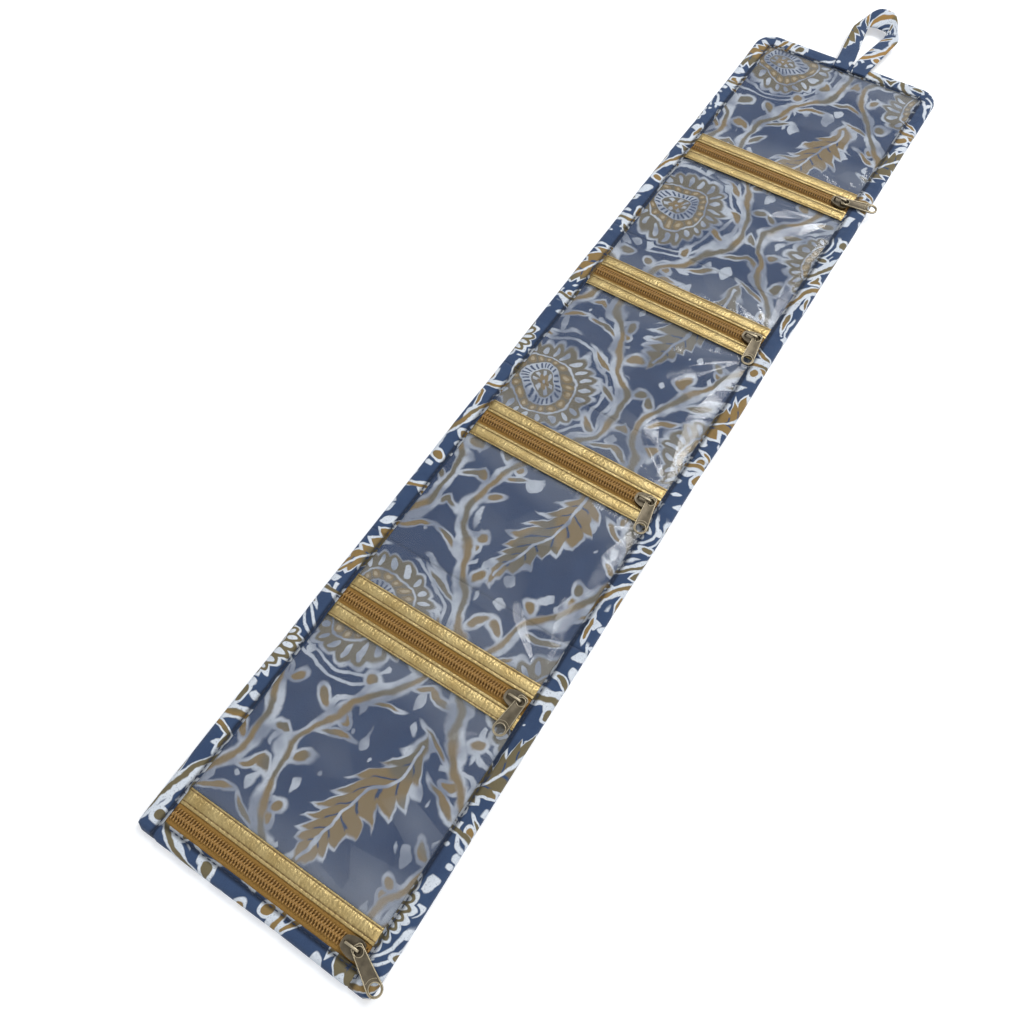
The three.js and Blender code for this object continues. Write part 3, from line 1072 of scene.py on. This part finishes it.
def windowSheet(pocket):
    bottom = zipYs[pocket - 1] + filmFromZip
    top = stripTop - edgeInset if pocket == 1 else zipYs[pocket - 2] - filmFromZip
    sliderX = nodeBox(f"slider_{pocket}")[1].x
    held, freeRun = windowPlan["heldEdge"], windowPlan["freeRun"]

    def fan(x, y, fromY, way):
        outX, outY = sliderX - x, (y - fromY) * way
        reach = math.hypot(outX, outY)
        if outY <= 0 or reach > windowPlan["fanEnd"][1]:
            return 0.0
        turns = math.atan2(outY, outX) / math.pi * windowPlan["fanFolds"]
        crease = zigzag(turns + 0.35 * soft(turns, pocket * 3.0, way) + 0.13 * pocket)
        fade = smooth(*windowPlan["fanStart"], reach) * (1 - smooth(*windowPlan["fanEnd"], reach))
        return windowPlan["fanRise"] * reach * crease * fade

    def heightAt(x, y):
        free = smooth(0, freeRun, innerHalf - abs(x))
        free *= smooth(0, freeRun, top - held - y) * smooth(0, freeRun, y - bottom - held)
        wave = soft(x / 24, y / 34, pocket * 4.1) + 0.35 * soft(x / 10, y / 15, pocket * 2.3)
        height = windowPlan["slack"] * (0.7 + 0.3 * soft(x / 40, y / 40, pocket)) + windowPlan["wave"] * wave
        height += fan(x, y, bottom + windowPlan["fanIn"], 1)
        if pocket > 1:
            height += fan(x, y, top - windowPlan["fanIn"], -1)
        return filmTop - 0.05 + max(windowPlan["lowest"], height) * free

    obj, flat = laySheet(f"film_{pocket}", windowPlan, bottom, top, heightAt)
    dressCloth(obj, windowPlan["thickness"], vinyl)
    pair("lining", max(1, pocket - 1))
    if pocket == 1:
        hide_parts("window_1")
        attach(obj, "panel_1")
    else:
        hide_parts(f"window_{pocket}", f"window_{pocket}_top")
        bendAtFold(obj, pocket - 1)


for pocket in range(1, pocketCount + 1):
    windowSheet(pocket)
print("windows stretched")


# the two halves of a zip: 1 is above its middle line and -1 below it
halfName = {1: "upper", -1: "lower"}


# a trim or a tape along one half of a zip, laid on the film beside it
def zipStrip(kind, panel, half, plan, place, clothAt, material, cutWidth):
    obj = layGrid(f"{kind}_{halfName[half]}_{panel}", plan["columns"], plan["rows"], place, clothAt)
    dressCloth(obj, plan["cloth"], material)
    film = f"film_{min(pocketCount, panel if half > 0 else panel + 1)}"
    cutWidth * mm
    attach(obj, f"panel_{panel}")
    return obj


# gold trims: a puffed strip between two sunk rows of stitches, with its edges turned under
trimPlan = {
    "cloth": 0.35,
    "columns": 150,
    "rows": 44,
    "crinkle": 0.05,
    "bow": 0.25,
    "bowRun": 38.0,
    "sunk": 0.45,
    "lip": 0.98,
    "crest": 1.42,
    "endRise": 0.4,
    "least": 0.12,
    "turnedUnder": 1.2,
}
trimCentre = (trimNear + trimFar) / 2


# a round lip along each edge and a fuller band between the two seams
def trimHeight(toZip):
    stops = (-trimHalf, *trimSeams, trimHalf)
    crests = (trimPlan["lip"], trimPlan["crest"], trimPlan["lip"])
    for low, high, crest in zip(stops, stops[1:], crests):
        if toZip <= high:
            break
    middle = abs(2 * (toZip - low) / (high - low) - 1)
    return trimRise * lerp(trimPlan["sunk"], crest, math.sqrt(max(0.0, 1 - middle ** 2.2)))


def trimStrip(panel, zipY, half):
    centreY = zipY + half * trimCentre
    seed = panel * 1.7 + (0 if half > 0 else 9)

    def bow(x):
        return trimPlan["bow"] * soft(x / trimPlan["bowRun"], seed)

    def place(s, t):
        x = acrossStrip(s)
        across = lerp(-trimHalf, trimHalf, t)
        crinkle = soft(x / 2.6, across / 3.5, seed) + 2 * soft(x / 9, across / 6, seed + 3)
        crinkle *= trimPlan["crinkle"] * smooth(0.6, 1.8, trimHalf - abs(across))
        under = smooth(innerHalf - 2.0, innerHalf + 0.5, abs(x))
        rise = lerp(trimHeight(-half * across) + crinkle, trimPlan["endRise"], under)
        return x, centreY + across + bow(x), tapeTop + max(trimPlan["least"], rise)

    def clothAt(s, t):
        return acrossStrip(s) + seed * 23, -half * lerp(-trimHalf, trimHalf, t)

    cutWidth = 2 * (trimHalf + trimPlan["turnedUnder"])
    obj = zipStrip("trim", panel, half, trimPlan, place, clothAt, gold, cutWidth)
    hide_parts(f"trim_{panel}_{halfName[half]}")
    count = int(2 * innerHalf / stitchPitch)
    for seam, side in zip(trimSeams[::-half], ("low", "high")):
        def stitchPlace(copy, seam=seam):
            x = -innerHalf + trimStitch["first"] + copy * stitchPitch
            y = centreY - half * seam
            z = tapeTop + trimHeight(seam) + trimStitch["lift"]
            return Vector((x, y + bow(x), z)), Vector((x + stitchPlan["length"], y + bow(x + 2), z))

        rowName = f"{obj.name}_stitches_{side}"
        row = stitchRow(rowName, count, stitchPlace, trimThread, trimStitch["radius"])
        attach(row, f"panel_{panel}")


for panel, zipY in enumerate(zipYs, start=1):
    trimStrip(panel, zipY, 1)
    if panel < pocketCount:
        trimStrip(panel, zipY, -1)
print("trims sewn")


# zips: woven tapes and two rows of coil that lock into each other
zipPlan = {
    "cloth": 0.35,
    "slit": 0.3,
    "cord": (3.1, 0.12),
    "turnPitch": 1.5,
    "wire": 0.41,
    "endGap": 0.4,
    "columns": 60,
    "rows": 10,
}
# one turn of the coil, across and up: from the tape, pressed down by the sewing, over to the middle and
# round its head
coilTurn = [
    (2.8, 0.1), (2.72, 0.8), (2.3, 1.12), (1.85, 0.95), (1.5, 0.72),
    (1.15, 0.95), (0.75, 1.24), (0.2, 1.24), (-0.35, 0.95), (-0.35, 0.5),
]


def zipTapeStrip(panel, zipY, half):
    node = f"zip_{panel}_{halfName[half]}"
    far = max(abs(corner.y - zipY) for corner in nodeBox(node))
    near, far = sorted((half * zipPlan["slit"], half * far))
    cordAt, cordRise = zipPlan["cord"]

    def place(s, t):
        across = lerp(near, far, t)
        cord = cordRise * math.exp(-((abs(across) - cordAt) / 0.35) ** 2)
        return acrossStrip(s), zipY + across, tapeTop - 0.06 + cord

    def clothAt(s, t):
        return acrossStrip(s), lerp(near, far, t)

    obj = zipStrip("tape", panel, half, zipPlan, place, clothAt, tapeCloth, far - near)
    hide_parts(node)


def coilRow(panel, zipY, half):
    pitch = zipPlan["turnPitch"]
    count = int(2 * (innerHalf - zipPlan["endGap"]) / pitch)
    startX = half * pitch / 4 - (count - 1) * pitch / 2
    path = []
    for across, rise in coilTurn:
        lean = 0.2 * (1.26 - rise) + 0.12 * across
        path.append((startX + lean, zipY + half * across, tapeTop + rise))
    swells = [0.9 + 0.35 * smooth(0.85, 1.2, rise) for across, rise in coilTurn]
    obj = rod(f"coil_{halfName[half]}_{panel}", path, zipPlan["wire"], swells, resolution=1)
    repeat(obj, count, pitch * mm)
    dress(obj, nylon)
    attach(obj, f"panel_{panel}")


for panel, zipY in enumerate(zipYs, start=1):
    for half in (1, -1):
        zipTapeStrip(panel, zipY, half)
        coilRow(panel, zipY, half)
print("zips made")


# sliders and pulls: cast metal, its edges rounded over and worn bright
sliderPlan = {
    "overCoil": 0.85,
    "overTape": 0.25,
    "plate": 0.65,
    "under": 0.55,
    "tailShare": 0.76,
    "corner": 3.4,
    "points": 40,
    "channelHalf": 2.95,
    "post": (3.0, 1.0),
    "postBack": 0.7,
    "sunkIn": 0.3,
    "rim": 0.8,
    "sink": 0.18,
    "round": 0.22,
    "bailRadius": 0.5,
    "bailWiden": 1.5,
    "bailBend": [(0.0, -0.9), (0.35, -0.3), (1.1, -0.05)],
}
pullPlan = {
    "eyeHalf": 2.6,
    "tipHalf": 3.55,
    "heel": 3.1,
    "chamfer": 1.0,
    "height": 0.8,
    "eyeRadius": 1.85,
    "holeRadius": 2.4,
    "holeAhead": 0.1,
    "rimRadius": 0.26,
    "markOut": 1.6,
    "markRadius": 0.13,
    "round": 0.13,
}


# an outline drawn as a filled circle, moved to shape and extruded up
def slab(name, outline, low, high):
    circle = {"vertices": len(outline), "radius": mm, "fill_type": "NGON"}
    obj = start(name, bpy.ops.mesh.primitive_circle_add, **circle)
    for vert, (x, y) in zip(obj.data.vertices, outline):
        vert.co = Vector((x, y, low)) * mm
    rise = {"value": (0, 0, (high - low) * mm)}
    with editing(obj):
        bpy.ops.mesh.extrude_region_move(TRANSFORM_OT_translate=rise)
        bpy.ops.mesh.select_all(action="SELECT")
        bpy.ops.mesh.normals_make_consistent(inside=False)
    return obj


def cutOut(obj, cutter):
    gap = obj.modifiers.new("gap", "BOOLEAN")
    gap.object = cutter
    gap.operation = "DIFFERENCE"
    gap.solver = "EXACT"
    applyAll(obj)
    bpy.data.objects.remove(cutter)


def drill(obj, radius, x):
    size = {"vertices": 32, "radius": radius * mm, "depth": 4 * mm}
    place = (x * mm, 0, mm)
    bit = start("bit", bpy.ops.mesh.primitive_cylinder_add, location=place, **size)
    bpy.ops.object.transform_apply()
    cutOut(obj, bit)


def sinkTop(obj, height, rim, sink):
    for face in obj.data.polygons:
        face.select = face.normal.z > 0.99 and abs(face.center.z - height * mm) < 0.05 * mm
    with editing(obj, everything=False):
        bpy.ops.mesh.inset(thickness=rim * mm, depth=-sink * mm)


def plateBrass(obj):
    obj.data.materials.clear()
    obj.data.materials.append(brass)
    obj.data.materials.append(wornBrass)


def roundEdges(obj, width):
    plateBrass(obj)
    bevel = obj.modifiers.new("rounded", "BEVEL")
    bevel.width = width * mm
    bevel.segments = 3
    bevel.limit_method = "ANGLE"
    bevel.angle_limit = math.radians(35)
    bevel.material = 1
    bevel.use_clamp_overlap = True
    applyAll(obj)
    bpy.ops.object.shade_smooth_by_angle(angle=math.radians(40))


def joinAll(parts):
    deselectAll()
    for part in parts:
        part.select_set(True)
    bpy.context.view_layer.objects.active = parts[0]
    bpy.ops.object.join()
    return parts[0]


# a rounded box seen from above, narrower at the tail
def sliderOutline(halfLength, halfWide):
    def squared(value):
        return math.copysign(abs(value) ** (2 / sliderPlan["corner"]), value)

    points = []
    for i in range(sliderPlan["points"]):
        angle = 2 * math.pi * i / sliderPlan["points"]
        x = halfLength * squared(math.cos(angle))
        side = halfWide * lerp(sliderPlan["tailShare"], 1.0, smooth(-halfLength, halfLength * 0.2, x))
        points.append((x, side * squared(math.sin(angle))))
    return points


sliderLow, sliderHigh = nodeBox("slider_3")
sliderMidX = (sliderLow.x + sliderHigh.x) / 2


def makeSlider():
    halfLength = (sliderHigh.x - sliderLow.x) / 2
    outline = sliderOutline(halfLength, (sliderHigh.y - sliderLow.y) / 2)
    top = coilTop + sliderPlan["overCoil"]
    body = slab("slider_body", outline, tapeTop + sliderPlan["overTape"], top)
    channel = start("channel", bpy.ops.mesh.primitive_cube_add, size=1)
    channelTop = top - sliderPlan["plate"] - tapeTop
    channel.scale = Vector((4 * halfLength, 2 * sliderPlan["channelHalf"], 2 * channelTop)) * mm
    channel.location = (0, 0, tapeTop * mm)
    bpy.ops.object.transform_apply()
    cutOut(body, channel)
    sinkTop(body, top, sliderPlan["rim"], sliderPlan["sink"])
    roundEdges(body, sliderPlan["round"])
    under = slab("slider_under", outline, sliderLow.z, sliderLow.z + sliderPlan["under"])
    roundEdges(under, sliderPlan["round"] * 0.7)
    run, thick = sliderPlan["post"]
    front = halfLength - sliderPlan["postBack"]
    back = front - run
    sunkIn = sliderPlan["sunkIn"]
    corners = [(back, -thick / 2), (front, -thick / 2), (front, thick / 2), (back, thick / 2)]
    post = slab("slider_post", corners, sliderLow.z + sunkIn, top - sunkIn)
    roundEdges(post, 0.08)
    # the bail stands on the plate: two legs and a bowed bar between them
    footX = jointPlace["pull_3_swing"].x - sliderMidX
    crown = sliderHigh.z - sliderPlan["bailRadius"]
    path = [(-footX, 0, top - sunkIn)]
    path += [(ahead - footX, 0, crown + rise) for ahead, rise in sliderPlan["bailBend"]]
    path += [(-x, y, z) for x, y, z in reversed(path)]
    bail = rod("slider_bail", path, sliderPlan["bailRadius"])
    for vert in bail.data.vertices:
        vert.co.y *= sliderPlan["bailWiden"]
    plateBrass(bail)
    for face in bail.data.polygons:
        face.material_index = 1 if face.normal.z > 0.8 else 0
    return joinAll([body, under, post, bail])


# vertices of a solid pull, from the axis that it turns about
def fromFoot(panel):
    foot = jointPlace[f"pull_{panel}_swing"]
    return [vert.co / mm - foot for vert in frame["nodes"][f"pull_{panel}"].data.vertices]


def arcPoints(centreX, radius, angles, height):
    return [(centreX + radius * math.cos(a), radius * math.sin(a), height) for a in angles]


def makePull():
    half, tipHalf, heel, chamfer = [pullPlan[key] for key in ("eyeHalf", "tipHalf", "heel", "chamfer")]
    rim, hole, height = pullPlan["rimRadius"], pullPlan["holeRadius"], pullPlan["height"]
    endX = max(away.to_2d().length for away in fromFoot(3)) - tipHalf
    holeX = endX + pullPlan["holeAhead"]

    def outlineIn(inset):
        bow = tipHalf - inset
        angles = [math.pi * i / 20 for i in range(21)]
        points = [(-heel + chamfer, inset - half)]
        points += [(endX + bow * math.sin(a), -bow * math.cos(a)) for a in angles]
        points += [(-heel + chamfer, half - inset)]
        return points + [(-heel + inset, half - chamfer), (-heel + inset, chamfer - half)]

    tab = slab("pull_body", outlineIn(0), 0, height)
    drill(tab, hole, holeX)
    drill(tab, pullPlan["eyeRadius"], 0)
    roundEdges(tab, pullPlan["round"])
    # raised rims round the outline, the eye and the hole, and a shallow arc beside the hole
    parts = [rod("pull_rim", [(x, y, height) for x, y in outlineIn(rim)], rim, closed=True)]
    fullTurn = [2 * math.pi * i / 28 for i in range(28)]
    for name, centre, radius in (("pull_eye", 0.0, pullPlan["eyeRadius"]), ("pull_hole", holeX, hole)):
        path = arcPoints(centre, radius + rim, fullTurn, height)
        parts.append(rod(name, path, rim * 0.9, closed=True))
    markTurn = [math.radians(angle) for angle in range(140, 221, 8)]
    mark = arcPoints(endX, hole + pullPlan["markOut"], markTurn, height)
    parts.append(rod("pull_mark", mark, pullPlan["markRadius"]))
    for part in parts:
        part.data.materials.append(wornBrass)
    return joinAll([tab] + parts)


# the way the solid pull lies: along its length from the foot axis
def pullTurn(panel):
    corners = fromFoot(panel)
    far = max(corners, key=lambda away: away.to_2d().length)
    ahead = Vector((far.x, far.y, min(away.z for away in corners))).normalized()
    side = Vector((0, 0, 1)).cross(ahead).normalized()
    turn = Matrix((ahead, side, ahead.cross(side))).transposed().to_4x4()
    return Matrix.Translation(jointPlace[f"pull_{panel}_swing"] * mm) @ turn


def placeCopy(source, name, node, matrix):
    obj = source.copy()
    obj.data = source.data.copy()
    obj.name = name
    bpy.context.collection.objects.link(obj)
    obj.data.transform(matrix)
    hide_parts(node)
    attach(obj, name)


slider = makeSlider()
pull = makePull()
for panel, zipY in enumerate(zipYs, start=1):
    onZip = Matrix.Translation(Vector((sliderMidX, zipY, 0)) * mm)
    placeCopy(slider, f"zip_slider_{panel}", f"slider_{panel}", onZip)
    placeCopy(pull, f"pull_tab_{panel}", f"pull_{panel}", pullTurn(panel))
bpy.data.objects.remove(slider)
bpy.data.objects.remove(pull)
print("sliders and pulls finished")


# hanging loop: one flat band, both ends sewn down side by side, its crown turned up on edge
loopPlan = {
    "cloth": 1.2,
    "width": 10.5,
    "columns": 12,
    "rows": 150,
    "ease": [-0.012, -0.006, 0.0, 0.006, 0.012],
    "puff": 0.45,
    "crumple": 0.12,
    "print": (210.0, 40.0),
    "outer": [
        (-11.4, -10.4, 4.8), (-11.6, -4.0, 5.9), (-11.9, 0.5, 6.0), (-15.4, 31.0, 6.6), (-15.2, 34.0, 6.9),
        (-8.8, 50.5, 9.8), (-5.5, 53.8, 10.8), (0.0, 54.6, 11.0), (5.0, 53.6, 10.6), (8.0, 50.5, 9.8),
        (16.6, 34.0, 6.9), (17.0, 31.0, 6.6), (12.6, 0.5, 6.0), (11.9, -4.0, 5.9), (11.4, -10.4, 4.8),
    ],
    "inner": [
        (-1.4, -10.4, 4.8), (-0.9, -4.0, 5.9), (-0.5, 0.5, 6.0), (-5.3, 30.0, 6.4), (-6.0, 36.0, 6.4),
        (-5.2, 39.6, 5.6), (-3.0, 40.8, 5.2), (0.0, 41.0, 5.2), (3.6, 40.6, 5.2), (6.0, 39.0, 5.6),
        (6.9, 35.0, 6.4), (6.6, 30.0, 6.4), (0.7, 0.5, 6.0), (0.9, -4.0, 5.9), (1.4, -10.4, 4.8),
    ],
}


def hangingLoop():
    loopLow, loopHigh = nodeBox("hanging_loop")
    centre = Vector(((loopLow.x + loopHigh.x) / 2, stripTop, 0))
    outerLine = [Vector(point) for point in loopPlan["outer"]]
    innerLine = [Vector(point) for point in loopPlan["inner"]]
    middle = [(a + b) / 2 for a, b in zip(outerLine, innerLine)]
    spans = [(b - a).length for a, b in zip(middle, middle[1:])]
    run = sum(spans)

    # both edges are walked by the middle line's lengths, so that they stay abreast
    def edgeAt(line, share):
        reach = min(1, max(0, share)) * run
        for index, span in enumerate(spans):
            if reach <= span or index == len(spans) - 1:
                return line[index].lerp(line[index + 1], min(1.0, reach / span))
            reach -= span

    def eased(line, share):
        steps = loopPlan["ease"]
        return sum((edgeAt(line, share + step) for step in steps), Vector()) / len(steps)

    def place(s, t):
        spot = eased(outerLine, t).lerp(eased(innerLine, t), s) + centre
        rounded = math.sqrt(max(0.0, 1 - abs(2 * s - 1) ** 4))
        spot.z += loopPlan["puff"] * rounded + loopPlan["crumple"] * soft(spot.x / 5, spot.y / 6, 4.0)
        return spot

    def clothAt(s, t):
        return loopPlan["print"][0] + s * 10, loopPlan["print"][1] + t * run

    obj = layGrid("hanging_loop_cloth", loopPlan["columns"], loopPlan["rows"], place, clothAt)
    dressCloth(obj, loopPlan["cloth"], coverCotton)
    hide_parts("hanging_loop")
    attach(obj, "loop")
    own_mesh(obj)


hangingLoop()
print("loop folded")


# floor, light and camera
stagePlan = {
    "floor": paint("F1F3F6"),
    "glow": 0.22,
    "farGlow": 0.75,
    "horizon": (0.255, 0.262, 0.278, 1),
    "zenith": (0.735, 0.742, 0.75, 1),
    "backdrop": (1, 1, 1, 1),
    "lamps": [
        ("key", (0.33, 0.86, 1.36), (0, 0, 0), 0.95, 15.0),
        ("fill", (0.7, -0.8, 1.1), (0, -0.1, 0), 1.2, 5.0),
    ],
    "camera": (120.2, -277.1, 419.9),
    "aim": (-8.8, -95.0, 0.0),
    "roll": -2.87,
    "lens": 32.64,
}


# 1 for what the camera sees, straight on or in gloss and glass
def seenByRay(wire):
    ray = wire.node("ShaderNodeLightPath", out="Is Camera Ray")
    return (ray + ray.also("Is Glossy Ray") + ray.also("Is Transmission Ray")).under(1.0)


def layFloor():
    floor = start("floor", bpy.ops.mesh.primitive_plane_add, size=8, location=(0, 0, -0.0002))
    material, wire = startMaterial("paleFloor")
    away = wire.node("ShaderNodeVectorMath", {0: objectPlace(wire)}, out=1, operation="LENGTH")
    glow = away.below(1.6, 1.0) * (stagePlan["glow"] - stagePlan["farGlow"]) + stagePlan["farGlow"]
    floor.data.materials.append(finishMaterial(material, wire, {
        "Base Color": stagePlan["floor"],
        "Roughness": 0.9,
        "Specular IOR Level": 0.1,
        "Emission Color": grey(seenByRay(wire) * glow),
        "Emission Strength": 1.0,
    }))


def lookFrom(place, aim):
    return (Vector(aim) - Vector(place)).to_track_quat("-Z", "Y")


def addLamp(name, place, aim, size, power):
    lamp = start(name, bpy.ops.object.light_add, type="AREA", location=place)
    lamp.data.shape = "DISK"
    lamp.data.size = size
    lamp.data.energy = power
    lamp.rotation_euler = lookFrom(place, aim).to_euler()


def lightScene():
    world = bpy.data.worlds.new("studio")
    bpy.context.scene.world = world
    world.use_nodes = True
    wire = Wire(world.node_tree)
    back = world.node_tree.nodes["Background"]
    upward = wire.node("ShaderNodeSeparateXYZ", {0: wire.node("ShaderNodeTexCoord")}, out=2)
    sky = mix(1 - upward.below(0.55, 0.5), stagePlan["horizon"], stagePlan["zenith"])
    sky = mix(seenByRay(wire) * upward.below(0.32, 0.1), sky, stagePlan["backdrop"])
    wire.tree.links.new(sky.socket, back.inputs["Color"])
    back.inputs["Strength"].default_value = 1.0
    for lamp in stagePlan["lamps"]:
        addLamp(*lamp)


def addCamera():
    place = Vector(stagePlan["camera"]) * mm
    camera = start("Camera", bpy.ops.object.camera_add, location=place)
    turn = lookFrom(place, Vector(stagePlan["aim"]) * mm).to_matrix().to_4x4()
    roll = Matrix.Rotation(math.radians(stagePlan["roll"]), 4, "Z")
    camera.matrix_world = Matrix.Translation(place) @ turn @ roll
    camera.data.lens = stagePlan["lens"]
    camera.data.sensor_width = 36
    camera.data.clip_start = 0.01
    bpy.context.scene.camera = camera


layFloor()
lightScene()
addCamera()
bpy.context.scene.view_settings.view_transform = "Standard"
print("stage set")
